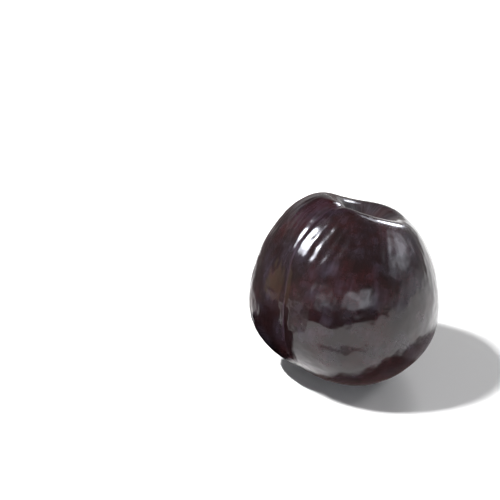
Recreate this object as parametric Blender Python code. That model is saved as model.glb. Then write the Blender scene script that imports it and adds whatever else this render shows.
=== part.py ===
"""Plumcot: a whole dark fruit with its stem cavity, seam groove and dry stalk.

Metres, +Z up. The origin is the centre of the small flat spot that the fruit rests on.
The skin is worked out in the fruit's own axes, where +Z runs from the blossom end to the
stem end and +X points to the seam, and is then leaned over to the way the fruit lies.
"""
import math

import bmesh
import bpy
from mathutils import Matrix, Vector

MM = 0.001

# The plain body: a squat round, a little wider than it is long
WIDTH = 66.0 * MM
HALF_LENGTH = 32.8 * MM
SHOULDER_RISE = 3.2 * MM
SQUARENESS = 0.02

# The stem cavity: a funnel with a round rim
CAVITY_DEPTH = 14.0 * MM
CAVITY_SPREAD = 0.23
CAVITY_FORM = 1.6

# The blossom end: a shallow dimple
DIMPLE_DEPTH = 0.7 * MM
DIMPLE_SPREAD = 0.28

# The seam groove: a notch in the cavity's rim, then a faint crease that swings a little to
# one side and back on its way to the blossom end
SEAM_DEPTH = 0.15 * MM
SEAM_DEPTH_AT_RIM = 1.3 * MM
SEAM_HALF_WIDTH = 1.9 * MM
SEAM_SWING = 0.11
SEAM_WRAP = 1.2
RIM_ANGLE = 0.38
RIM_REACH = 0.22

# Uneven growth. The middle is wider one way than the other, by this much and at this angle
# round from the seam, and the shoulders are fuller on the seam's side and off to one side
OVAL = 1.3 * MM
OVAL_TURN = math.radians(84.0)
SHOULDER_AT_SEAM = 0.4 * MM
SHOULDER_ASIDE = -0.5 * MM

# Cheeks that stand out and places that were pressed in: angle from the stem end, angle
# round from the seam (both in degrees), height, and reach as an angle in radians
SWELLS = (
    (27.0, -32.0, 1.5 * MM, 0.40),
    (137.5, 71.0, 0.9 * MM, 0.38),
    (141.0, 13.0, -1.5 * MM, 0.30),
    (68.5, -37.5, -1.3 * MM, 0.40),
    (98.0, 121.0, 1.5 * MM, 0.26),
    (56.0, 45.0, 1.1 * MM, 0.45),
    (62.0, -130.0, 1.0 * MM, 0.50),
    (23.0, -115.0, -1.5 * MM, 0.20),
    (58.0, -7.0, 0.9 * MM, 0.20),
    (50.0, 25.0, -0.9 * MM, 0.20),
    (24.0, 178.0, 1.0 * MM, 0.18),
)

# How the fruit lies: it leans to the right and a little back, with its seam to the front left
LEAN = math.radians(16.2)
LEAN_TOWARD = math.radians(26.8)
SEAM_TURN = math.radians(-161.4)
FLAT_DEPTH = 0.55 * MM

# The stalk, standing in a socket at the bottom of the cavity
STALK_HEIGHT = 7.0 * MM
STALK_RADII = (1.30 * MM, 1.00 * MM, 0.95 * MM, 1.15 * MM, 1.65 * MM)
STALK_BEND = 0.9 * MM
SOCKET_DEPTH = 1.4 * MM
SOCKET_RADIUS = 1.65 * MM
GAP = 0.3 * MM

# How finely the skin is divided, with closer rings and meridians at the cavity and the seam
MERIDIANS = 72
RINGS = 42
CLOSER_RINGS = 0.35
CLOSER_MERIDIANS = 0.40

SKIN_COLOUR = (0.030, 0.008, 0.011, 1.0)
STALK_COLOUR = (0.235, 0.150, 0.075, 1.0)


def direction_to(polar, turn):
    """The unit direction at an angle from the stem end and an angle round from the seam's side."""
    return Vector((math.sin(polar) * math.cos(turn), math.sin(polar) * math.sin(turn), math.cos(polar)))


def growth(direction):
    """How far the skin stands out of the plain body along a unit direction."""
    x, y, z = direction
    height = OVAL * (x * x + y * y) * math.cos(2 * (math.atan2(y, x) - OVAL_TURN))
    height += (SHOULDER_AT_SEAM * x + SHOULDER_ASIDE * y) * (5 * z * z - 1) / 2
    for polar, turn, swell, reach in SWELLS:
        middle = direction_to(math.radians(polar), math.radians(turn))
        height += swell * math.exp((direction.dot(middle) - 1) / reach ** 2)
    return height


def seam_turn(polar):
    """How far round the seam has swung, at an angle from the stem end."""
    return -SEAM_SWING * math.sin(2 * polar)


def seam_depth(polar, turn, radius):
    """Depth of the seam groove, deepest where it crosses the cavity's rim."""
    off_seam = (turn - seam_turn(polar) + math.pi) % (2 * math.pi) - math.pi
    aside = radius * math.sin(max(-math.pi / 2, min(math.pi / 2, off_seam)))
    depth = SEAM_DEPTH + SEAM_DEPTH_AT_RIM * math.exp(-((polar - RIM_ANGLE) / RIM_REACH) ** 2)
    one_side_only = math.exp(-(off_seam / SEAM_WRAP) ** 4)
    fade_at_stem = math.sin(min(1.5 * polar, math.pi / 2))
    return depth * one_side_only * fade_at_stem * math.exp(-(aside / SEAM_HALF_WIDTH) ** 2)


def skin_point(polar, turn):
    """A point of the skin, by its angle from the stem end and its angle round from the seam's side."""
    half_width = WIDTH / 2
    radius = half_width * (math.sin(polar) + SQUARENESS * math.sin(3 * polar)) / (1 - SQUARENESS)
    height = HALF_LENGTH * math.cos(polar) + SHOULDER_RISE * math.cos(polar) ** 2
    height -= CAVITY_DEPTH * math.exp(-(polar / CAVITY_SPREAD) ** CAVITY_FORM)
    height += DIMPLE_DEPTH * math.exp(-((math.pi - polar) / DIMPLE_SPREAD) ** 2)
    point = Vector((radius * math.cos(turn), radius * math.sin(turn), height))
    direction = point.normalized()
    point -= direction * seam_depth(polar, turn, radius)
    return point * (1 + growth(direction) / half_width)


def lying_pose():
    """Turns the fruit's own axes to the way that the fruit lies, before it is set on the ground."""
    lean = Matrix.Rotation(LEAN_TOWARD, 4, 'Z') @ Matrix.Rotation(LEAN, 4, 'Y')
    return lean @ Matrix.Rotation(SEAM_TURN, 4, 'Z')


def lowest_point(pose):
    """The lowest point of the leaning skin, found by ever smaller steps round the best one so far."""
    down = pose.inverted() @ Vector((0.0, 0.0, -1.0))
    angles = (math.acos(down.z), math.atan2(down.y, down.x))
    step = 0.1
    while step > 1e-6:
        around = [(angles[0] + step * i, angles[1] + step * j) for i in (0, -1, 1) for j in (0, -1, 1)]
        best = min(around, key=lambda pair: (pose @ skin_point(*pair)).z)
        if best == angles:
            step /= 2
        angles = best
    return pose @ skin_point(*angles)


def resting_pose():
    """The lying pose, moved so that the middle of the flat spot is at the origin."""
    pose = lying_pose()
    low = lowest_point(pose)
    return Matrix.Translation((-low.x, -low.y, -low.z - FLAT_DEPTH)) @ pose


def new_collection(name):
    collection = bpy.data.collections.new(name)
    bpy.context.scene.collection.children.link(collection)
    return collection


def new_material(name, colour, roughness):
    material = bpy.data.materials.new(name)
    material.use_nodes = True
    surface = material.node_tree.nodes["Principled BSDF"]
    surface.inputs["Base Color"].default_value = colour
    surface.inputs["Roughness"].default_value = roughness
    surface.inputs["Metallic"].default_value = 0.0
    return material


def object_from_bmesh(name, shape, collection):
    mesh = bpy.data.meshes.new(name)
    shape.to_mesh(mesh)
    shape.free()
    item = bpy.data.objects.new(name, mesh)
    collection.objects.link(item)
    return item


def add_cut(target, cutter):
    """Takes a cutter's shape out of a piece and hides the cutter."""
    cutter.hide_render = True
    cutter.display_type = 'WIRE'
    cut = target.modifiers.new(cutter.name, 'BOOLEAN')
    cut.operation = 'DIFFERENCE'
    cut.solver = 'EXACT'
    cut.object = cutter


def ground_cutter(collection):
    """A block whose top is the ground, which leaves the fruit its flat spot."""
    shape = bmesh.new()
    bmesh.ops.create_cube(shape, size=WIDTH)
    cutter = object_from_bmesh("ground_cut", shape, collection)
    cutter.location = (0.0, 0.0, -WIDTH / 2)
    return cutter


def socket_cutter(collection, pose):
    """A plain hole at the bottom of the cavity, which the stalk stands in."""
    shape = bmesh.new()
    bmesh.ops.create_cone(shape, cap_ends=True, segments=24, radius1=SOCKET_RADIUS,
                          radius2=SOCKET_RADIUS, depth=2 * SOCKET_DEPTH)
    cutter = object_from_bmesh("socket_cut", shape, collection)
    cutter.matrix_world = pose @ Matrix.Translation(skin_point(0.0, 0.0))
    return cutter


def build_fruit(collection, cutters, pose):
    """The skin and flesh, grown as one body."""
    shape = bmesh.new()
    bmesh.ops.create_uvsphere(shape, u_segments=MERIDIANS, v_segments=RINGS, radius=1.0)
    for vertex in shape.verts:
        polar = math.acos(max(-1.0, min(1.0, vertex.co.z)))
        turn = math.atan2(vertex.co.y, vertex.co.x)
        polar -= CLOSER_RINGS * math.sin(polar)
        turn += seam_turn(polar) - CLOSER_MERIDIANS * math.sin(turn)
        vertex.co = pose @ skin_point(polar, turn)
    bmesh.ops.recalc_face_normals(shape, faces=shape.faces)
    fruit = object_from_bmesh("fruit", shape, collection)
    fruit.data.shade_smooth()
    fruit.data.materials.append(new_material("skin", SKIN_COLOUR, 0.16))
    add_cut(fruit, ground_cutter(cutters))
    add_cut(fruit, socket_cutter(cutters, pose))
    return fruit


def build_stem(collection, pose):
    """The dry stalk: a short bent rod, thinner in the middle and flared at its torn end."""
    line = bpy.data.curves.new("stem", 'CURVE')
    line.dimensions = '3D'
    line.bevel_depth = 1.0
    line.bevel_resolution = 3
    line.resolution_u = 4
    line.use_fill_caps = True
    path = line.splines.new('BEZIER')
    path.bezier_points.add(len(STALK_RADII) - 1)
    foot = skin_point(0.0, 0.0).z - SOCKET_DEPTH + GAP
    rise = STALK_HEIGHT + SOCKET_DEPTH - GAP
    for index, (point, radius) in enumerate(zip(path.bezier_points, STALK_RADII)):
        share = index / (len(STALK_RADII) - 1)
        point.co = (STALK_BEND * share * share, -0.4 * STALK_BEND * share ** 3, foot + rise * share)
        point.handle_left_type = 'AUTO'
        point.handle_right_type = 'AUTO'
        point.radius = radius
    stem = bpy.data.objects.new("stem", line)
    collection.objects.link(stem)
    stem.matrix_world = pose
    line.materials.append(new_material("stalk", STALK_COLOUR, 0.85))
    return stem


def main():
    for item in list(bpy.data.objects):
        bpy.data.objects.remove(item)
    collection = new_collection("plumcot")
    cutters = new_collection("cutters")
    pose = resting_pose()
    build_fruit(collection, cutters, pose)
    build_stem(collection, pose)


main()
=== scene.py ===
"""Plumcot: the looks of a whole dark plumcot resting on a pale table in soft studio light.

Metres, +Z up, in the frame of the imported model. The origin is the middle of the flat spot
that the fruit rests on. The fruit's own axes, which most of the shape is worked out in, have
+Z from the blossom end to the stem end and +X towards the seam.
"""

import math

import bmesh
import bpy
import numpy as np
from bpy.props import FloatProperty, FloatVectorProperty, IntProperty, PointerProperty
from bpy.types import Operator, Panel, PropertyGroup
from mathutils import Matrix, Vector, noise


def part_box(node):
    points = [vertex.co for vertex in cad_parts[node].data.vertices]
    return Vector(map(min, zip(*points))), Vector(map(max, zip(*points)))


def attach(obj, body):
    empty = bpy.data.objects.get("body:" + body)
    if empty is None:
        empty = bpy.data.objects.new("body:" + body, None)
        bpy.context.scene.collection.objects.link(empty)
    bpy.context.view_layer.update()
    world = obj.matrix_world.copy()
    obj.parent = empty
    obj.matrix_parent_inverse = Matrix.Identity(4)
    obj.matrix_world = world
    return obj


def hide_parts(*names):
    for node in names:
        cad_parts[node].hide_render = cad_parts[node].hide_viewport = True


bl_info = {
    "name": "Plumcot",
    "version": (1, 0, 0),
    "blender": (4, 5, 0),
    "location": "View3D > Sidebar > Plumcot",
    "description": "Grows the skin and stalk of a dark glossy plumcot and sets it on a pale table",
    "category": "Add Mesh",
}

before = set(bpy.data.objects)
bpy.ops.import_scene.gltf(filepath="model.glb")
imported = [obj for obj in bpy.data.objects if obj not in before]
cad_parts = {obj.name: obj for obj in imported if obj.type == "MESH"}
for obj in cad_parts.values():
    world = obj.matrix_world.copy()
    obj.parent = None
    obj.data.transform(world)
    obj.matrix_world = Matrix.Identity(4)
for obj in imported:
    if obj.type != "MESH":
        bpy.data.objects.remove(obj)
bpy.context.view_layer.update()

MM = 0.001

# The plain body: a squat round, a little wider than it is long
WIDTH = 66.0 * MM
HALF_LENGTH = 32.8 * MM
SHOULDER_RISE = 3.2 * MM
SQUARENESS = 0.02

# The stem cavity: a funnel with a round rim
CAVITY_DEPTH = 14.0 * MM
CAVITY_SPREAD = 0.23
CAVITY_FORM = 1.6

# The blossom end: a shallow dimple
DIMPLE_DEPTH = 0.7 * MM
DIMPLE_SPREAD = 0.28

# The seam groove: a notch in the cavity's rim, then a faint crease that swings a little to
# one side and back on its way to the blossom end
SEAM_DEPTH = 0.15 * MM
SEAM_DEPTH_AT_RIM = 1.3 * MM
SEAM_HALF_WIDTH = 1.9 * MM
SEAM_SWING = 0.11
SEAM_WRAP = 1.2
RIM_ANGLE = 0.38
RIM_REACH = 0.22

# Uneven growth
OVAL = 1.3 * MM
OVAL_TURN = math.radians(84.0)
SHOULDER_AT_SEAM = 0.4 * MM
SHOULDER_ASIDE = -0.5 * MM

# Cheeks that stand out and places that were pressed in: angle from the stem end, angle
# round from the seam (both in degrees), height, and reach as an angle in radians
SWELLS = (
    (27.0, -32.0, 1.5 * MM, 0.40),
    (137.5, 71.0, 0.9 * MM, 0.38),
    (141.0, 13.0, -1.5 * MM, 0.30),
    (68.5, -37.5, -1.3 * MM, 0.40),
    (98.0, 121.0, 1.5 * MM, 0.26),
    (56.0, 45.0, 1.1 * MM, 0.45),
    (62.0, -130.0, 1.0 * MM, 0.50),
    (23.0, -115.0, -1.5 * MM, 0.20),
    (58.0, -7.0, 0.9 * MM, 0.20),
    (50.0, 25.0, -0.9 * MM, 0.20),
    (24.0, 178.0, 1.0 * MM, 0.18),
)

# Places where the bloom has stayed on, and near the highlight and across the front a bluish sheen that is
# painted on:
# angle from the stem end, angle round from the seam (both in degrees), reach as an angle in radians, and
# share
BLOOM_AND_SHEEN_MARKS = (
    (39.6, -16.0, 0.12, 0.45),
    (61.5, 23.5, 0.05, 0.80),
    (66.0, -11.0, 0.08, 0.35),
    (84.0, 27.5, 0.045, 0.60),
    (90.5, 30.0, 0.045, 0.60),
    (97.0, 32.0, 0.040, 0.45),
    (80.0, 17.0, 0.06, 0.35),
    (57.0, 150.0, 0.16, 0.40),
    (105.0, -120.0, 0.20, 0.40),
)

# How the fruit lies
LEAN = math.radians(16.2)
LEAN_TOWARD = math.radians(26.8)
SEAM_TURN = math.radians(-161.4)

# The stalk, standing in the cavity with its foot sunk in the flesh
STALK_HEIGHT = 7.0 * MM
STALK_BEND = 0.9 * MM
STALK_SWAY = -0.4 * STALK_BEND
STALK_WAIST = 0.94 * MM
STALK_FLARE_AT_FOOT = 0.36 * MM
STALK_FLARE_AT_TIP = 0.71 * MM
STALK_SUNK = 1.1 * MM
STALK_MERIDIANS = 64
STALK_RINGS = 110
COLLAR_HEIGHT = 0.35 * MM
COLLAR_HALF_WIDTH = 0.45 * MM
RIDGE_TWIST = 2.0
RIDGE_WANDER = 1.5
BARK_BUMPS_AROUND = 4
BARK_BUMPS_ALONG = 9
FIBRE_SIZE = 0.22 * MM
FIBRE_STRETCH = 0.12

# How much of the stalk's strip from tip to foot lies on the torn end, and how much on the foot
TORN_SHARE = 0.22
FOOT_SHARE = 0.06

# The tear starts this far up the stalk. It is hollowed, frayed and splintered by these shares
# of its depth, with so many bumps across its radius, and bark covers this much of its edge
TEAR_STARTS = 0.80
HOLLOW_SHARE = 0.55
FRAY_SHARE = 0.30
SPLINTER_SHARE = 0.16
FRAY_BUMPS = 3.5
SPLINTER_BUMPS = 9.0
BARK_ON_EDGE = 0.6

# The seam's own fine crease, and the folds that run beside it on the shoulder
CREASE_DEPTH = 0.06 * MM
CREASE_HALF_WIDTH = 0.50 * MM
FOLD_ANGLE = 0.92
FOLD_REACH = 0.30
FOLD_BREADTH = 12.0 * MM
FOLD_WANDER = 1.2

# The skin's waves have these shares of their height on the cavity's rim, and grow to the whole
# of it between two angles from the stem end
RIBS_AT_RIM = 0.10
WAVES_AT_RIM = 0.40
CALM_ANGLE = 0.42
FULL_ANGLE = 0.75

# One seed for each kind of unevenness, so that every run grows the same fruit
RIB_SEED = 1
DENT_SEED = 2
ROLL_SEED = 3
RIDGE_SEED = 4
BARK_SEED = 5
FRAY_SEED = 6
SPLINTER_SEED = 7
GRAIN_SEED = 8
SEED_STEP = Vector((17.3, 5.9, 31.7))
NOISE_GAIN = 1.6

# The skin's finish. The red flush and the haze of bloom grow over a range of their noise, and
# the dust thins out and the wax grows thick between two angles each from the stem end
FLUSH_SIZE = 11.0 * MM
FLUSH_RANGE = (0.42, 0.66)
FLUSH_AT_SEAM = 0.5
HAZE_SIZE = 7.0 * MM
HAZE_RANGE = (0.42, 0.72)
WAX_GRAIN_SIZE = 0.9 * MM
SEAM_LINE_HALF_WIDTH = 0.45 * MM
# The seam's pale line takes these shares of the bloom's colour; it is partly bloom in the crease and
# partly a painted highlight along it
PALE_SEAM_AND_HIGHLIGHT_SHARES = (0.03, 0.13)
DUST_SHARE = 0.22
DUST_ANGLES = (0.26, 0.42)
WAX_ANGLES = (0.22, 0.36)
WAX_IN_CAVITY = 0.30

# The fine skin is drawn in by this much, so that it stays inside the solid that it stands for.
# Its rings stand closer at the cavity and its meridians closer at the seam
SKIN_INSET = 0.05 * MM
CLOSER_RINGS = 0.25
CLOSER_MERIDIANS = 0.15

# The stage: what the lamps face, how wide the table is, how far off the lamps and the panels
# stand, and the size of the panels' blotches and the noise that they fade out between
FRUIT_MIDDLE = Vector((0.0, 0.0, WIDTH / 2))
TABLE_RADIUS = 2.5
LAMP_DISTANCE = 2.2
PANEL_DISTANCE = 0.9
BLOTCH_SIZE = 0.13
BLOTCH_RANGE = (0.36, 0.60)
GLINT_CORNERS = 24

# The colours of the panels and the glints, and of the cards that take light away
COOL_LIGHT = (0.93, 0.96, 1.06)
BLACK = (0.0, 0.0, 0.0)

# How brightly the room glows at the table's height, overhead, and roughly behind the panels,
# which have no darker places than that
ROOM_AT_TABLE = 0.36
ROOM_OVERHEAD = 0.14
ROOM_BEHIND_PANELS = 0.30
ROOM_COLOUR = (1.0, 0.985, 0.965)

# How far above the table the cards on it float, in millimetres, and the middle of one that is
# partly under another
TABLE_CARD_RISE = 0.4
SUNK_MIDDLE_RISE = 0.3


def direction_to(polar, turn):
    """Unit directions, by their angles from the stem end and round from the seam's side."""
    return np.stack((np.sin(polar) * np.cos(turn), np.sin(polar) * np.sin(turn), np.cos(polar)), -1)


def nearness(directions, polar, turn, reach):
    """1 at the place with these two angles in degrees, falling to 0 all round it."""
    middle = direction_to(math.radians(polar), math.radians(turn))
    return np.exp((directions @ middle - 1) / reach ** 2)


def growth(directions):
    """How far the skin stands out of the plain body along unit directions, one a row."""
    x, y, z = directions.T
    height = OVAL * (x * x + y * y) * np.cos(2 * (np.arctan2(y, x) - OVAL_TURN))
    height += (SHOULDER_AT_SEAM * x + SHOULDER_ASIDE * y) * (5 * z * z - 1) / 2
    for polar, turn, swell, reach in SWELLS:
        height += swell * nearness(directions, polar, turn, reach)
    return height


def seam_turn(polar):
    """How far round the seam has swung, at an angle from the stem end."""
    return -SEAM_SWING * np.sin(2 * polar)


def off_seam(polar, turn):
    """The angle round from the seam, from -pi to pi."""
    return (turn - seam_turn(polar) + math.pi) % (2 * math.pi) - math.pi


def beside_seam(polar, turn, radius):
    """The distance to one side of the seam's middle line."""
    return radius * np.sin(np.clip(off_seam(polar, turn), -math.pi / 2, math.pi / 2))


def on_seam_side(polar, turn):
    """1 along the seam, falling to 0 round the far side, where there is none."""
    return np.exp(-(off_seam(polar, turn) / SEAM_WRAP) ** 4)


def seam_depth(polar, turn, radius):
    """Depth of the seam groove, deepest where it crosses the cavity's rim."""
    depth = SEAM_DEPTH + SEAM_DEPTH_AT_RIM * np.exp(-((polar - RIM_ANGLE) / RIM_REACH) ** 2)
    fade_at_stem = np.sin(np.minimum(1.5 * polar, math.pi / 2))
    groove = np.exp(-(beside_seam(polar, turn, radius) / SEAM_HALF_WIDTH) ** 2)
    return depth * on_seam_side(polar, turn) * fade_at_stem * groove


def body_radius(polar):
    """The plain body's radius round the stem's line, at an angle from the stem end."""
    return WIDTH / 2 * (np.sin(polar) + SQUARENESS * np.sin(3 * polar)) / (1 - SQUARENESS)


def skin_points(polar, turn):
    """Points of the skin, by their angles from the stem end and round from the seam's side."""
    radius = body_radius(polar)
    height = HALF_LENGTH * np.cos(polar) + SHOULDER_RISE * np.cos(polar) ** 2
    height -= CAVITY_DEPTH * np.exp(-(polar / CAVITY_SPREAD) ** CAVITY_FORM)
    height += DIMPLE_DEPTH * np.exp(-((math.pi - polar) / DIMPLE_SPREAD) ** 2)
    points = np.column_stack((radius * np.cos(turn), radius * np.sin(turn), height))
    directions = points / np.linalg.norm(points, axis=1)[:, None]
    points -= directions * seam_depth(polar, turn, radius)[:, None]
    return points * (1 + growth(directions) / (WIDTH / 2))[:, None]


def lying_turn():
    """Turns the fruit's own axes to the way that the fruit lies."""
    lean = Matrix.Rotation(LEAN_TOWARD, 3, 'Z') @ Matrix.Rotation(LEAN, 3, 'Y')
    return np.array(lean @ Matrix.Rotation(SEAM_TURN, 3, 'Z'))


def lying_shift():
    """Moves the leaning fruit from its own middle to where its solid is."""
    polar, turn = np.meshgrid(np.linspace(0.0, math.pi, 361), np.linspace(-math.pi, math.pi, 361))
    plain = skin_points(polar.ravel(), turn.ravel()) @ lying_turn().T
    low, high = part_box("fruit")
    shift = np.array((low + high) / 2) - (plain.min(0) + plain.max(0)) / 2
    shift[2] = high.z - plain[:, 2].max()
    return shift


def circle(turn):
    """Points of a circle round the stem's line with a radius of 1, one a row."""
    return np.column_stack((np.cos(turn), np.sin(turn)))


def smooth_noise(places, seed):
    """Smooth noise from about -1 to 1, one value for each place, whose unit is one bump."""
    offset = seed * SEED_STEP
    return np.array([noise.noise(Vector(place) + offset) for place in places]) * NOISE_GAIN


def bloom_and_sheen_marks(polar, turn):
    """How much bloom the marked places keep, and how much painted bluish sheen they get, from 0 to 1."""
    directions = direction_to(polar, turn)
    left = np.zeros(len(polar))
    for mark_polar, mark_turn, reach, share in BLOOM_AND_SHEEN_MARKS:
        left = np.maximum(left, share * nearness(directions, mark_polar, mark_turn, reach))
    return left


def ripple_depth(polar, turn, settings):
    """How far the skin's fine waves go in, from 0 to the sum of their heights."""
    half = WIDTH / 2
    across = circle(turn) * half / settings.rib_spacing
    ribs = smooth_noise(np.column_stack((across, half * polar / settings.rib_length)), RIB_SEED)
    sphere = half * direction_to(polar, turn)
    dents = smooth_noise(sphere / settings.dent_size, DENT_SEED)
    grain = smooth_noise(sphere / settings.grain_size, GRAIN_SEED)
    rolls = smooth_noise(sphere / settings.roll_size, ROLL_SEED)
    aside = beside_seam(polar, turn, body_radius(polar))
    folds = np.cos(2 * math.pi * aside / settings.fold_spacing + FOLD_WANDER * rolls)
    near_fold = np.exp(-((polar - FOLD_ANGLE) / FOLD_REACH) ** 2 - (aside / FOLD_BREADTH) ** 2)
    near_fold *= on_seam_side(polar, turn)
    grown = (polar - CALM_ANGLE) / (FULL_ANGLE - CALM_ANGLE)
    rib_share = np.clip(grown, RIBS_AT_RIM, 1.0)
    wave_share = np.clip(grown, WAVES_AT_RIM, 1.0)
    depth = settings.fold_height * near_fold * (0.5 + 0.5 * folds)
    depth += rib_share * settings.rib_height * (0.5 - 0.5 * ribs)
    depth += wave_share * settings.dent_height * (0.5 - 0.5 * dents)
    depth += wave_share * settings.grain_height * (0.5 - 0.5 * grain)
    depth += wave_share * settings.roll_height * (0.5 - 0.5 * rolls)
    crease = np.exp(-(aside / CREASE_HALF_WIDTH) ** 2) * on_seam_side(polar, turn)
    depth += CREASE_DEPTH * crease * np.sin(polar)
    return np.maximum(depth, 0.0)


def stalk_radius(share, turn, settings):
    """The stalk's radius, by the share of the way up it and the angle round it."""
    around = circle(turn)
    flare = np.where(share < 0.5, STALK_FLARE_AT_FOOT, STALK_FLARE_AT_TIP)
    above_flesh = share * (STALK_HEIGHT + STALK_SUNK) - STALK_SUNK
    radius = STALK_WAIST + flare * (2 * share - 1) ** 2
    radius += COLLAR_HEIGHT * np.exp(-(above_flesh / COLLAR_HALF_WIDTH) ** 2)
    wander = smooth_noise(np.column_stack((around, 3 * share)), RIDGE_SEED)
    swing = RIDGE_TWIST * share + RIDGE_WANDER * wander
    ridge = 0.5 + 0.5 * np.cos(settings.ridges * turn + swing)
    bark_place = np.column_stack((BARK_BUMPS_AROUND * around, BARK_BUMPS_ALONG * share))
    bark = smooth_noise(bark_place, BARK_SEED)
    return radius - settings.ridge_depth * (1 - ridge ** 2) - 0.5 * settings.ridge_depth * bark


def stalk_shape(down, turn, settings):
    """The stalk's points, and for each its fibre's place and how torn it is there.

    Down is a share of the way from the middle of the torn end, over its rim and along the side,
    to the middle of the foot.
    """
    share = np.clip(1 - (down - TORN_SHARE) / (1 - TORN_SHARE - FOOT_SHARE), 0.0, 1.0)
    across = np.minimum(down / TORN_SHARE, 1.0)
    around = circle(turn)
    radius = stalk_radius(share, turn, settings)
    radius *= across * np.sqrt(np.clip((1 - down) / FOOT_SHARE, 0.0, 1.0))
    on_tip = np.column_stack((around * across[:, None], 0 * share))
    fray = smooth_noise(FRAY_BUMPS * on_tip, FRAY_SEED)
    splinters = smooth_noise(SPLINTER_BUMPS * on_tip, SPLINTER_SEED)
    near_tip = np.clip((share - TEAR_STARTS) / (1 - TEAR_STARTS), 0.0, 1.0) ** 2
    drop = HOLLOW_SHARE * (1 - across ** 2) + FRAY_SHARE * (1 + fray) + SPLINTER_SHARE * splinters
    height = skin_points(np.zeros(1), np.zeros(1))[0, 2] - STALK_SUNK
    height += (STALK_HEIGHT + STALK_SUNK) * share
    height -= settings.tear_depth * near_tip * np.maximum(drop, 0.0)
    x, y = (radius[:, None] * around).T
    points = np.column_stack((x + STALK_BEND * share ** 2, y + STALK_SWAY * share ** 3, height))
    fibre = np.column_stack((x, y, FIBRE_STRETCH * height)) / FIBRE_SIZE
    return points, fibre, near_tip * (1 - BARK_ON_EDGE * across ** 6)


def ball_angles(shape):
    """The angles of a ball's points: from its top, and round from its side."""
    x, y, z = np.array([vertex.co for vertex in shape.verts]).T
    return np.arccos(np.clip(z, -1.0, 1.0)), np.arctan2(y, x)


def lay_down(shape, points):
    """Moves the vertices to points in the fruit's own axes, as the fruit lies on the table."""
    places = points @ lying_turn().T + lying_shift()
    places[:, 2] = np.maximum(places[:, 2], 0.0)
    for vertex, place in zip(shape.verts, places):
        vertex.co = place


def new_mesh_object(name, shape):
    """An object in the scene with the shape as its mesh, shaded smooth."""
    mesh = bpy.data.meshes.new(name)
    shape.to_mesh(mesh)
    shape.free()
    mesh.shade_smooth()
    item = bpy.data.objects.new(name, mesh)
    bpy.context.scene.collection.objects.link(item)
    return item


def add_point_values(mesh, name, values):
    """Keeps a number or a vector for each point of the mesh, which a material can read by its name."""
    values = np.asarray(values, np.float32)
    kind, field = ('FLOAT', "value") if values.ndim == 1 else ('FLOAT_VECTOR', "vector")
    mesh.attributes.new(name, kind, 'POINT').data.foreach_set(field, values.ravel())


def new_material(name):
    """A material with the usual two nodes, and its Principled one."""
    material = bpy.data.materials.new(name)
    material.use_nodes = True
    return material, material.node_tree.nodes["Principled BSDF"]


class Nodes:
    """Short ways to add the nodes of a material or a world."""

    def __init__(self, owner):
        self.tree = owner.node_tree

    def add(self, kind, **inputs):
        """A node of that kind, with its sockets set to numbers or linked to other sockets."""
        node = self.tree.nodes.new(kind)
        for name, value in inputs.items():
            self.put(node.inputs[name.replace("_", " ")], value)
        return node

    def put(self, socket, value):
        """Links a socket to another one, or sets it to a number."""
        if isinstance(value, bpy.types.NodeSocket):
            self.tree.links.new(value, socket)
        else:
            socket.default_value = value

    def math(self, operation, a, b=0.0):
        """A sum, a product or the like of two values."""
        node = self.tree.nodes.new("ShaderNodeMath")
        node.operation = operation
        self.put(node.inputs[0], a)
        self.put(node.inputs[1], b)
        return node.outputs[0]

    def ramp(self, value, low, high, to_low=0.0, to_high=1.0):
        """A smooth step of a value, from to_low at low to to_high at high."""
        node = self.tree.nodes.new("ShaderNodeMapRange")
        node.interpolation_type = 'SMOOTHSTEP'
        for socket, number in zip(node.inputs[:5], (value, low, high, to_low, to_high)):
            self.put(socket, number)
        return node.outputs[0]

    def mix(self, share, a, b):
        """A blend of two colours."""
        node = self.tree.nodes.new("ShaderNodeMix")
        node.data_type = 'RGBA'
        for socket, value in ((node.inputs[0], share), (node.inputs[6], a), (node.inputs[7], b)):
            self.put(socket, value)
        return node.outputs[2]

    def kept(self, name, output="Fac"):
        """The number, or with "Vector" the vector, that each point of the mesh keeps by that name."""
        node = self.tree.nodes.new("ShaderNodeAttribute")
        node.attribute_name = name
        return node.outputs[output]

    def show(self, shader):
        """Makes a shader the material's surface, in place of its Principled one."""
        self.tree.links.new(shader, self.tree.nodes["Material Output"].inputs["Surface"])
        self.tree.nodes.remove(self.tree.nodes["Principled BSDF"])

    def noise(self, size, detail=2.0, roughness=0.5, vector=None):
        """Noise whose bumps are about that size, in metres."""
        node = self.add("ShaderNodeTexNoise", Scale=1.0 / size, Detail=detail, Roughness=roughness)
        place = vector or self.add("ShaderNodeTexCoord").outputs["Object"]
        self.tree.links.new(place, node.inputs["Vector"])
        return node.outputs["Fac"]


def opaque(colour):
    """A colour with its fourth number, as sockets take it."""
    return (*colour, 1.0)


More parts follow.
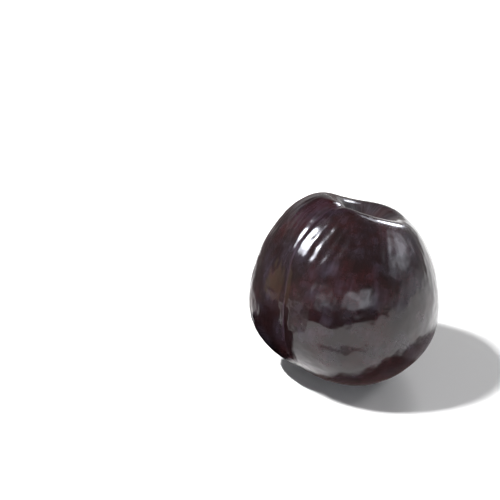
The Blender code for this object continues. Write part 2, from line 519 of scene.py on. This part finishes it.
def skin_material(settings):
    """Near-black plum skin: red and blue mottling, a trace of bloom under wax, a painted bluish sheen near
    the highlight and on the front, and a pale seam line that is partly a painted highlight along the
    crease.
    """
    material, surface = new_material("plumcot_skin")
    nodes = Nodes(material)
    stem_angle = nodes.kept("stem_angle")
    seam = nodes.kept("seam_line")
    streaks = nodes.noise(1.0, 3.0, 0.6, nodes.kept("streak_place", "Vector"))

    flush = nodes.ramp(nodes.noise(FLUSH_SIZE, 3.0, 0.55), *FLUSH_RANGE)
    flush = nodes.math('MULTIPLY', flush, nodes.ramp(streaks, 0.35, 0.65, 0.6, 1.0))
    flush = nodes.math('MAXIMUM', flush, nodes.math('MULTIPLY', seam, FLUSH_AT_SEAM))
    colour = nodes.mix(flush, opaque(settings.deep_colour), opaque(settings.flush_colour))

    haze = nodes.ramp(nodes.noise(HAZE_SIZE, 4.0, 0.6), *HAZE_RANGE)
    haze = nodes.math('MULTIPLY', haze, nodes.ramp(streaks, 0.40, 0.70, 0.5, 1.0))
    # The marked places add bloom, and near the highlight and on the front they paint a bluish sheen
    marks = nodes.math('MULTIPLY', nodes.kept("bloom_and_sheen_mark"), nodes.ramp(streaks, 0.30, 0.65, 0.5, 1.6))
    haze = nodes.math('MULTIPLY', nodes.math('ADD', haze, marks), settings.bloom)
    colour = nodes.mix(haze, colour, opaque(settings.bloom_and_sheen_colour))
    # A pale line along the seam: partly bloom in the crease, partly a painted highlight along the crease
    pale_seam_and_highlight = nodes.math('MULTIPLY', seam, nodes.ramp(streaks, 0.3, 0.6, *PALE_SEAM_AND_HIGHLIGHT_SHARES))
    colour = nodes.mix(pale_seam_and_highlight, colour, opaque(settings.bloom_and_sheen_colour))

    dust = nodes.ramp(stem_angle, *DUST_ANGLES, DUST_SHARE, 0.0)
    dust = nodes.math('MULTIPLY', dust, nodes.ramp(streaks, 0.3, 0.7, 0.5, 1.3))
    colour = nodes.mix(dust, colour, opaque(settings.dust_colour))
    nodes.put(surface.inputs["Base Color"], colour)

    bump = nodes.add("ShaderNodeBump", Strength=0.05, Distance=0.03 * MM,
                     Height=nodes.noise(WAX_GRAIN_SIZE, 3.0, 0.6))
    nodes.put(surface.inputs["Normal"], bump.outputs["Normal"])
    nodes.put(surface.inputs["Coat Weight"], nodes.ramp(stem_angle, *WAX_ANGLES, WAX_IN_CAVITY, 1.0))
    surface.inputs["Coat Roughness"].default_value = 0.12
    surface.inputs["Coat IOR"].default_value = 1.5
    surface.inputs["Roughness"].default_value = 0.35
    surface.inputs["Specular IOR Level"].default_value = 0.03
    return material


def stalk_material(settings):
    """Dry brown stalk: bark streaked along its length, and paler fibres at the torn end."""
    material, surface = new_material("plumcot_stalk")
    nodes = Nodes(material)
    streaks = nodes.noise(1.0, 4.0, 0.65, nodes.kept("fibre_place", "Vector"))
    bare = nodes.ramp(streaks, 0.3, 0.7)
    colour = nodes.mix(bare, opaque(settings.dark_colour), opaque(settings.pale_colour))
    torn = nodes.math('MULTIPLY', nodes.kept("torn_end"), nodes.ramp(streaks, 0.2, 0.6, 0.5, 1.0))
    colour = nodes.mix(torn, colour, opaque(settings.torn_colour))
    nodes.put(surface.inputs["Base Color"], colour)
    bump = nodes.add("ShaderNodeBump", Strength=0.6, Distance=0.12 * MM, Height=streaks)
    nodes.put(surface.inputs["Normal"], bump.outputs["Normal"])
    nodes.put(surface.inputs["Roughness"], nodes.ramp(streaks, 0.2, 0.8, 0.65, 0.9))
    surface.inputs["Specular IOR Level"].default_value = 0.3
    return material


class PlumcotSkinSettings(PropertyGroup):
    """Sizes and colours of the skin that a user may change."""

    meridians: IntProperty(name="Meridians", description="Strips round the fruit", default=380)
    rings: IntProperty(name="Rings", description="Strips from the stem to the blossom end", default=250)
    rib_spacing: FloatProperty(
        name="Rib spacing", description="Width of one faint rib that runs from stem to blossom end",
        default=2.4 * MM, subtype='DISTANCE')
    rib_length: FloatProperty(
        name="Rib length", description="Length of one faint rib", default=14.0 * MM, subtype='DISTANCE')
    rib_height: FloatProperty(
        name="Rib height", description="Height of the faint ribs", default=0.12 * MM, subtype='DISTANCE')
    fold_spacing: FloatProperty(
        name="Fold spacing", description="Width of one fold beside the seam", default=3.2 * MM,
        subtype='DISTANCE')
    fold_height: FloatProperty(
        name="Fold height", description="Height of the folds beside the seam", default=0.18 * MM,
        subtype='DISTANCE')
    dent_size: FloatProperty(
        name="Dent size", description="Width of a faint dent", default=2.6 * MM, subtype='DISTANCE')
    dent_height: FloatProperty(
        name="Dent depth", description="Depth of the faint dents", default=0.09 * MM, subtype='DISTANCE')
    grain_size: FloatProperty(
        name="Grain size", description="Width of the finest waves", default=1.4 * MM, subtype='DISTANCE')
    grain_height: FloatProperty(
        name="Grain height", description="Height of the finest waves", default=0.025 * MM,
        subtype='DISTANCE')
    roll_size: FloatProperty(
        name="Roll size", description="Width of a broad low wave", default=9.0 * MM, subtype='DISTANCE')
    roll_height: FloatProperty(
        name="Roll height", description="Height of the broad waves", default=0.25 * MM, subtype='DISTANCE')
    streak_width: FloatProperty(
        name="Streak width", description="Width of one faint streak of colour", default=1.7 * MM,
        subtype='DISTANCE')
    streak_length: FloatProperty(
        name="Streak length", description="Length of one faint streak of colour", default=7.0 * MM,
        subtype='DISTANCE')
    deep_colour: FloatVectorProperty(
        name="Deep colour", description="Colour of most of the skin", subtype='COLOR', min=0.0, max=1.0,
        default=(0.0098, 0.0040, 0.0044))
    flush_colour: FloatVectorProperty(
        name="Flush colour", description="Red at the seam, in the cavity and in patches",
        subtype='COLOR', min=0.0, max=1.0, default=(0.022, 0.0052, 0.0056))
    # Also the colour of the painted bluish sheen and of the painted highlight along the seam
    bloom_and_sheen_colour: FloatVectorProperty(
        name="Bloom colour", description="Colour of the waxy bloom", subtype='COLOR', min=0.0, max=1.0,
        default=(0.105, 0.092, 0.138))
    dust_colour: FloatVectorProperty(
        name="Dust colour", description="Colour of the dusty cavity", subtype='COLOR', min=0.0, max=1.0,
        default=(0.105, 0.10, 0.107))
    bloom: FloatProperty(
        name="Bloom", description="How much of the bloom is left", default=0.18, min=0.0, max=1.0,
        subtype='FACTOR')


class PlumcotStalkSettings(PropertyGroup):
    """Sizes and colours of the stalk that a user may change."""

    ridges: IntProperty(name="Ridges", description="Ridges that run up the stalk", default=8)
    ridge_depth: FloatProperty(
        name="Ridge depth", description="Depth of the grooves between the ridges", default=0.11 * MM,
        subtype='DISTANCE')
    tear_depth: FloatProperty(
        name="Tear depth", description="How far the torn end is hollowed and frayed", default=0.7 * MM,
        subtype='DISTANCE')
    torn_colour: FloatVectorProperty(
        name="Torn colour", description="Colour of the fibres at the torn end", subtype='COLOR', min=0.0,
        max=1.0, default=(0.27, 0.19, 0.11))
    pale_colour: FloatVectorProperty(
        name="Pale colour", description="Colour of the bare wood", subtype='COLOR', min=0.0, max=1.0,
        default=(0.20, 0.13, 0.07))
    dark_colour: FloatVectorProperty(
        name="Dark colour", description="Colour of the dry bark", subtype='COLOR', min=0.0, max=1.0,
        default=(0.09, 0.05, 0.025))


class PlumcotStageSettings(PropertyGroup):
    """The table, the lamps and the camera."""

    camera_place: FloatVectorProperty(
        name="Camera", description="Where the camera stands", subtype='TRANSLATION', unit='LENGTH',
        default=(-35.69 * MM, -310.24 * MM, 182.32 * MM))
    camera_tilt: FloatProperty(
        name="Camera tilt", description="How far the camera looks down", subtype='ANGLE',
        default=math.radians(23.794))
    camera_lens: FloatProperty(
        name="Lens", description="Focal length of the lens in millimetres", default=70.65)
    key_power: FloatProperty(name="Key lamp", description="Brightness of the key lamp", default=522.0)
    back_power: FloatProperty(name="Back lamp", description="Brightness of the back lamp", default=9.0)
    fill_power: FloatProperty(name="Fill lamp", description="Brightness of the fill lamp", default=10.0)
    floor_colour: FloatVectorProperty(
        name="Table colour", description="Colour of the table", subtype='COLOR', min=0.0, max=1.0,
        default=(0.87, 0.87, 0.87))


class MESH_OT_plumcot_fruit(Operator):
    """Grow the fruit's fine skin around its solid"""

    bl_idname = "mesh.plumcot_fruit"
    bl_label = "Fruit"

    def execute(self, context):
        settings = context.scene.plumcot_skin
        shape = bmesh.new()
        bmesh.ops.create_uvsphere(
            shape, u_segments=settings.meridians, v_segments=settings.rings, radius=1.0)
        polar, turn = ball_angles(shape)
        polar -= CLOSER_RINGS * np.sin(polar)
        turn += seam_turn(polar) - CLOSER_MERIDIANS * np.sin(turn)
        points = skin_points(polar, turn)
        inwards = SKIN_INSET + ripple_depth(polar, turn, settings)
        lay_down(shape, points * (1 - inwards / np.linalg.norm(points, axis=1))[:, None])
        fruit = new_mesh_object("fruit_skin", shape)
        off_line = beside_seam(polar, turn, body_radius(polar)) / SEAM_LINE_HALF_WIDTH
        add_point_values(fruit.data, "stem_angle", polar)
        add_point_values(fruit.data, "seam_line", np.exp(-off_line ** 2) * on_seam_side(polar, turn))
        add_point_values(fruit.data, "bloom_and_sheen_mark", bloom_and_sheen_marks(polar, turn))
        streaks = np.column_stack((circle(turn) / settings.streak_width, polar / settings.streak_length))
        add_point_values(fruit.data, "streak_place", WIDTH / 2 * streaks)
        fruit.data.materials.append(skin_material(settings))
        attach(fruit, "root")
        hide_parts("fruit")
        return {'FINISHED'}


class MESH_OT_plumcot_stalk(Operator):
    """Set the dry stalk in the cavity"""

    bl_idname = "mesh.plumcot_stalk"
    bl_label = "Stalk"

    def execute(self, context):
        settings = context.scene.plumcot_stalk
        shape = bmesh.new()
        bmesh.ops.create_uvsphere(shape, u_segments=STALK_MERIDIANS, v_segments=STALK_RINGS, radius=1.0)
        polar, turn = ball_angles(shape)
        points, fibre, torn = stalk_shape(polar / math.pi, turn, settings)
        lay_down(shape, points)
        stalk = new_mesh_object("dry_stalk", shape)
        add_point_values(stalk.data, "fibre_place", fibre)
        add_point_values(stalk.data, "torn_end", torn)
        stalk.data.materials.append(stalk_material(settings))
        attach(stalk, "root")
        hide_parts("stem")
        return {'FINISHED'}


def direction_at(azimuth, elevation):
    """A direction from the fruit: azimuth is round from straight behind it, in degrees."""
    azimuth, elevation = math.radians(azimuth), math.radians(elevation)
    return Vector((math.sin(azimuth) * math.cos(elevation), math.cos(azimuth) * math.cos(elevation),
                   math.sin(elevation)))


def spread_at(distance, spread):
    """The width and height of what spans so many degrees, as seen from that distance."""
    return [2 * distance * math.tan(math.radians(angle) / 2) for angle in spread]


def face_fruit(item, direction, distance):
    """Puts a lamp or a panel off to one side of the fruit, facing it and unseen by the camera."""
    item.location = FRUIT_MIDDLE + direction * distance
    item.rotation_mode = 'QUATERNION'
    item.rotation_quaternion = direction.to_track_quat('Z', 'Y')
    item.visible_camera = False


def add_lamp(name, angles, spread, radiance):
    """A rectangular lamp, which is not mirrored in the skin.

    Its angles are its azimuth and elevation, and its spread its width and height, in degrees.
    """
    light = bpy.data.lights.new(name, 'AREA')
    light.shape = 'RECTANGLE'
    light.size, light.size_y = spread_at(LAMP_DISTANCE, spread)
    light.energy = radiance * math.pi * light.size * light.size_y
    lamp = bpy.data.objects.new(name, light)
    bpy.context.scene.collection.objects.link(lamp)
    face_fruit(lamp, direction_at(*angles), LAMP_DISTANCE)
    lamp.visible_glossy = False


def add_panel(name, angles, spread, radiance, softness, blotch=0.30):
    """A glowing cloth panel, which fades out towards its edges over that share of its width.

    Its darkest blotches glow with that share of its radiance.
    """
    shape = bmesh.new()
    bmesh.ops.create_grid(shape, x_segments=1, y_segments=1, size=0.5)
    bmesh.ops.scale(shape, vec=(*spread_at(PANEL_DISTANCE, spread), 1.0), verts=shape.verts)
    panel = new_mesh_object(name, shape)
    material, _ = new_material(name)
    nodes = Nodes(material)
    place = nodes.add("ShaderNodeSeparateXYZ")
    nodes.put(place.inputs[0], nodes.add("ShaderNodeTexCoord").outputs["Generated"])
    glow = radiance
    for axis in "XY":
        off_centre = nodes.math('ABSOLUTE', nodes.math('SUBTRACT', place.outputs[axis], 0.5))
        glow = nodes.math('MULTIPLY', nodes.ramp(off_centre, 0.5 - softness, 0.5, 1.0, 0.0), glow)
    blotches = nodes.ramp(nodes.noise(BLOTCH_SIZE, 2.0, 0.6), *BLOTCH_RANGE, blotch, 1.0)
    glow = nodes.math('MAXIMUM', nodes.math('MULTIPLY', glow, blotches), ROOM_BEHIND_PANELS)
    nodes.show(nodes.add("ShaderNodeEmission", Color=opaque(COOL_LIGHT), Strength=glow).outputs[0])
    panel.data.materials.append(material)
    panel.visible_shadow = False
    face_fruit(panel, direction_at(*angles), PANEL_DISTANCE)
    return panel


def add_card(name, corners, centre, colour, softness, radiance=1.0):
    """A card that only the glossy skin mirrors: black, or glowing with a colour.

    The corners are places, and the card fades out from its outline over a share of the way to
    its centre.
    """
    shape = bmesh.new()
    outer = [shape.verts.new(corner) for corner in corners]
    inner = [shape.verts.new(corner.lerp(centre, softness)) for corner in corners]
    shape.faces.new(inner)
    for i in range(len(outer)):
        shape.faces.new((outer[i - 1], outer[i], inner[i], inner[i - 1]))
    card = new_mesh_object(name, shape)
    add_point_values(card.data, "cover", [0.0] * len(outer) + [1.0] * len(inner))
    material, _ = new_material(name)
    nodes = Nodes(material)
    clear = nodes.add("ShaderNodeBsdfTransparent")
    glow = nodes.add("ShaderNodeEmission", Color=opaque(colour), Strength=radiance)
    blend = nodes.add("ShaderNodeMixShader")
    shares = (nodes.ramp(nodes.kept("cover"), 0.0, 1.0), clear.outputs[0], glow.outputs[0])
    for socket, value in zip(blend.inputs, shares):
        nodes.put(socket, value)
    nodes.show(blend.outputs[0])
    card.data.materials.append(material)
    card.visible_camera = card.visible_diffuse = card.visible_shadow = False
    return card


def add_glint(name, angles, spread, radiance, softness, distance=PANEL_DISTANCE):
    """A soft oval card facing the fruit, with its angles and its spread in degrees."""
    direction = direction_at(*angles)
    across, up, _ = direction.to_track_quat('Z', 'Y').to_matrix().col
    centre = FRUIT_MIDDLE + direction * distance
    width, height = spread_at(distance, spread)
    corners = []
    for step in range(GLINT_CORNERS):
        turn = 2 * math.pi * step / GLINT_CORNERS
        corners.append(centre + across * width / 2 * math.cos(turn) + up * height / 2 * math.sin(turn))
    add_card(name, corners, centre, COOL_LIGHT, softness, radiance)


def add_lying_card(name, outline, centre, colour, softness, middle_rise=TABLE_CARD_RISE):
    """A card that lies on the table, with its outline and its centre in millimetres."""
    corners = [Vector((x, y, TABLE_CARD_RISE)) * MM for x, y in outline]
    return add_card(name, corners, Vector((*centre, middle_rise)) * MM, colour, softness)


def add_standing_card(name, corners, centre, colour, softness):
    """A card that stands upright, with its corners and its centre in millimetres."""
    add_card(name, [Vector(corner) * MM for corner in corners], Vector(centre) * MM, colour, softness)


class SCENE_OT_plumcot_stage(Operator):
    """Lay the table, set the lamps and place the camera"""

    bl_idname = "scene.plumcot_stage"
    bl_label = "Table, lamps and camera"

    def execute(self, context):
        settings = context.scene.plumcot_stage
        self.lay_table(settings)
        self.light_fruit(settings)
        self.stand_cards()
        self.lay_cards()
        self.light_room(context.scene)
        self.place_camera(context.scene, settings)
        context.scene.view_settings.view_transform = 'Standard'
        return {'FINISHED'}

    def lay_table(self, settings):
        """A round white table, so wide that its edge is out of the picture."""
        shape = bmesh.new()
        bmesh.ops.create_circle(shape, cap_ends=True, segments=96, radius=TABLE_RADIUS)
        table = new_mesh_object("table", shape)
        material, surface = new_material("table_white")
        surface.inputs["Base Color"].default_value = opaque(settings.floor_colour)
        surface.inputs["Roughness"].default_value = 0.9
        surface.inputs["Specular IOR Level"].default_value = 0.1
        table.data.materials.append(material)

    def light_fruit(self, settings):
        """The lamps, and the bright and dark shapes round the fruit that its skin mirrors."""
        add_lamp("key", (-98, 55), (6, 6), settings.key_power)
        add_lamp("back", (27, 36), (10, 40), settings.back_power)
        add_lamp("fill", (78, 35), (14, 14), settings.fill_power)
        panel_right = add_panel("panel_right", (86, 34), (78, 46), 4.2, 0.5, 0.5)
        panel_right.visible_diffuse = False
        add_panel("panel_front", (174, 13), (54, 30), 3.6, 0.35, 0.42)
        add_panel("panel_front_left", (218, 11), (36, 32), 2.0, 0.40)
        add_glint("glint_core", (-99.5, 55), (15, 16), 100.0, 0.6, 0.88)
        add_glint("glint_wide", (-97, 48), (34, 40), 32.0, 0.8)
        add_glint("glint_back", (30, 23), (11, 26), 24.0, 0.6)
        add_glint("card_over", (-12, 40), (80, 56), 0.0, 0.4, 1.2)
        add_glint("glow_low_right", (100, 2), (80, 40), 1.1, 0.9)
        add_glint("glint_back_dull", (29, 37), (14, 14), 4.0, 0.6)

    def stand_cards(self):
        """Cards that stand beside and behind the fruit."""
        left = ((-146, -44, 0), (-62, 130, 0), (-62, 130, 75), (-146, -44, 75))
        add_standing_card("card_left", left, (-104, 43, 37), (0.10, 0.09, 0.09), 0.2)
        brown = ((-136, -37.5, 26), (-103, 36.5, 24), (-103, 36.5, 60), (-136, -37.5, 56))
        add_standing_card("card_brown", brown, (-120, 0, 41), (0.58, 0.47, 0.32), 0.30)
        behind = ((-160, 120, 0), (42, 120, 0), (42, 120, 62), (-160, 120, 62))
        add_standing_card("card_behind", behind, (-59, 120, 31), (0.15, 0.12, 0.12), 0.2)
        fringe = (
            (-48, 115, 21), (-46, 115, 30), (-66, 115, 35), (-86, 115, 39), (-88, 115, 27),
            (-66, 115, 24))
        add_standing_card("card_fringe", fringe, (-67, 115, 29), (0.45, 0.42, 0.42), 0.5)

    def lay_cards(self):
        """Cards that lie on the table, three of them mirrored in the skin as painted shadow, and one that
        only darkens the end of the shadow.
        """
        # A black card that the skin mirrors as a painted shadow on the table to the fruit's left and
        # behind it
        beside = (
            (-21, -12), (-35, -25), (-69, -45), (-100, -36), (-160, -48), (-300, -70), (-300, 300),
            (-100, 220), (-115, 110), (-84, 28), (-66, 30), (-50, 36), (-34, 22), (-21, 5))
        add_lying_card("shadow_card_beside", beside, (-120, 0), BLACK, 0.05)
        before = (
            (-470, -70), (-120, -95), (-65, -139), (-13, -170), (47, -190), (140, -260),
            (480, -420), (480, -2200), (-900, -2200), (-900, -300))
        add_lying_card("card_before", before, (-20, -900), BLACK, 0.02)
        grey = (
            (-62, -43), (-72, -70), (-110, -88), (-300, -200), (-900, -300), (-900, -150),
            (-300, -72), (-160, -50), (-100, -38))
        add_lying_card("card_grey", grey, (-130, -65), (0.75, 0.70, 0.71), 0.2)
        gap = ((-140, 115), (-84, 24), (-66, 26), (-50, 32), (-62, 110))
        add_lying_card("card_gap", gap, (-85, 65), (0.70, 0.67, 0.67), 0.0)
        line = (
            (-40, -54), (-29, -54), (-19, -56), (-9, -59), (1, -62), (11, -66), (12, -68),
            (1, -69), (-9, -69), (-19, -66), (-29, -61), (-40, -56))
        add_lying_card("card_line", line, (-15, -68), (0.65, 0.60, 0.60), 0.0)
        # A dark card under the fruit and a greyer one to its right, which the skin mirrors as a painted
        # shadow on the table, darker and wider than the lamps cast
        under = (
            (-17, -20), (-10, -34), (8, -41), (22, -44), (34, -42), (34, -20), (24, 20), (10, 34),
            (-17, 6))
        add_lying_card("shadow_card_under", under, (8, -8), (0.10, 0.07, 0.07), 0.2)
        aside = ((12, -41), (38, -40), (50, -31), (58, -17), (58, 1), (47, 25), (16, 34), (20, 0))
        add_lying_card("shadow_card_aside", aside, (36, -8), (0.25, 0.22, 0.23), 0.30, SUNK_MIDDLE_RISE)
        foot = (
            (-25, 5), (-25.5, 0.6), (-24.6, -3.6), (-23.2, -7.1), (-21, -10.8), (-18.2, -14.8),
            (-15.4, -17.4), (-12.7, -19.1), (-10, -20.2), (-8, -10), (-15, 2))
        shade = add_lying_card("card_shade", foot, (-15, -9), BLACK, 0.1)
        shade.visible_glossy = False
        shade.visible_shadow = True

    def light_room(self, scene):
        """A room that is pale near the table's height and dim overhead."""
        world = bpy.data.worlds.new("room")
        world.use_nodes = True
        scene.world = world
        nodes = Nodes(world)
        split = nodes.add("ShaderNodeSeparateXYZ")
        nodes.put(split.inputs[0], nodes.add("ShaderNodeTexCoord").outputs["Generated"])
        rise = nodes.add("ShaderNodeMapRange")
        values = (split.outputs["Z"], 0.0, 0.5, ROOM_AT_TABLE, ROOM_OVERHEAD)
        for socket, value in zip(rise.inputs[:5], values):
            nodes.put(socket, value)
        background = world.node_tree.nodes["Background"]
        nodes.put(background.inputs["Strength"], rise.outputs[0])
        background.inputs["Color"].default_value = opaque(ROOM_COLOUR)

    def place_camera(self, scene, settings):
        """The camera, level from side to side and looking down at the fruit."""
        data = bpy.data.cameras.new("camera")
        data.lens = settings.camera_lens
        data.sensor_width = 36.0
        data.clip_start = 0.01
        camera = bpy.data.objects.new("camera", data)
        camera.location = settings.camera_place
        camera.rotation_euler = (math.pi / 2 - settings.camera_tilt, 0.0, 0.0)
        scene.collection.objects.link(camera)
        scene.camera = camera


class VIEW3D_PT_plumcot(Panel):
    """The plumcot's pieces and settings"""

    bl_label = "Plumcot"
    bl_idname = "VIEW3D_PT_plumcot"
    bl_space_type = 'VIEW_3D'
    bl_region_type = 'UI'
    bl_category = "Plumcot"

    def draw(self, context):
        for operator, settings in PIECES:
            box = self.layout.box()
            box.operator(operator)
            group = getattr(context.scene, settings)
            for name in group.__annotations__:
                box.prop(group, name)


PIECES = (
    ("mesh.plumcot_fruit", "plumcot_skin"),
    ("mesh.plumcot_stalk", "plumcot_stalk"),
    ("scene.plumcot_stage", "plumcot_stage"),
)
SETTINGS = {
    "plumcot_skin": PlumcotSkinSettings,
    "plumcot_stalk": PlumcotStalkSettings,
    "plumcot_stage": PlumcotStageSettings,
}
OPERATORS = (MESH_OT_plumcot_fruit, MESH_OT_plumcot_stalk, SCENE_OT_plumcot_stage)


def register():
    for name, group in SETTINGS.items():
        bpy.utils.register_class(group)
        setattr(bpy.types.Scene, name, PointerProperty(type=group))
    for item in (*OPERATORS, VIEW3D_PT_plumcot):
        bpy.utils.register_class(item)


def unregister():
    for item in (VIEW3D_PT_plumcot, *reversed(OPERATORS)):
        bpy.utils.unregister_class(item)
    for name, group in reversed(SETTINGS.items()):
        delattr(bpy.types.Scene, name)
        bpy.utils.unregister_class(group)


def main():
    register()
    bpy.ops.mesh.plumcot_fruit()
    bpy.ops.mesh.plumcot_stalk()
    bpy.ops.scene.plumcot_stage()


if __name__ == "__main__":
    main()
